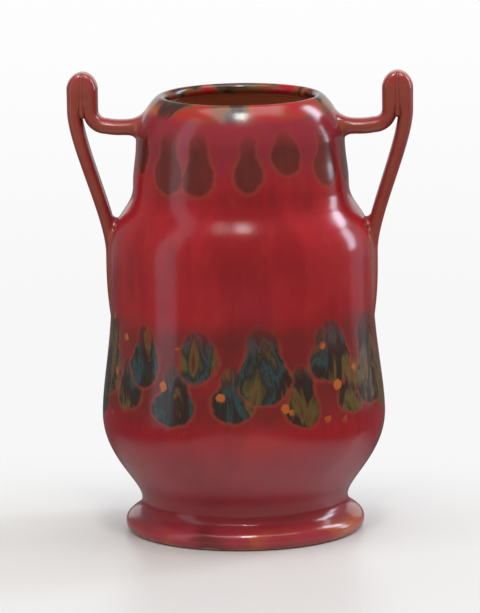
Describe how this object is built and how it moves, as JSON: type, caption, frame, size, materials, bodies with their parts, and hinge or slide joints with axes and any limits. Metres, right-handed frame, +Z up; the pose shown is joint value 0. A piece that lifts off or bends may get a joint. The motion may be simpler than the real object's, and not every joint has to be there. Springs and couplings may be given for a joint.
{
  "type": "two-handled vase",
  "caption": "Glazed ceramic vase with a full belly on a turned foot, a straight barrel, an incurved lip and two upright ear handles; holds flowers or stands as an ornament.",
  "frame": {"origin": "centre of the foot's resting plane, on the axis of the vase", "axes": "+Z up along the axis, X through both handles, -Y towards the pictured front"},
  "size_m": [0.1968, 0.1624, 0.2632],
  "materials": {
    "body_glaze": "glossy deep red glaze with a dark pooled edge",
    "belly_glaze": "glossy red-brown glaze with dark green and teal pools",
    "foot_glaze": "glossy red glaze, bare on the resting face",
    "handle_glaze": "glossy red-brown glaze, thin on the edges"
  },
  "bodies": {
    "root": {"foot_ring": "foot_glaze", "belly": "belly_glaze", "barrel": "body_glaze", "neck_collar": "body_glaze", "left_inner_strap": "handle_glaze", "left_outer_strap": "handle_glaze", "left_lip_wad": "handle_glaze", "left_shoulder_wad": "handle_glaze", "right_inner_strap": "handle_glaze", "right_outer_strap": "handle_glaze", "right_lip_wad": "handle_glaze", "right_shoulder_wad": "handle_glaze"}
  },
  "joints": []
}
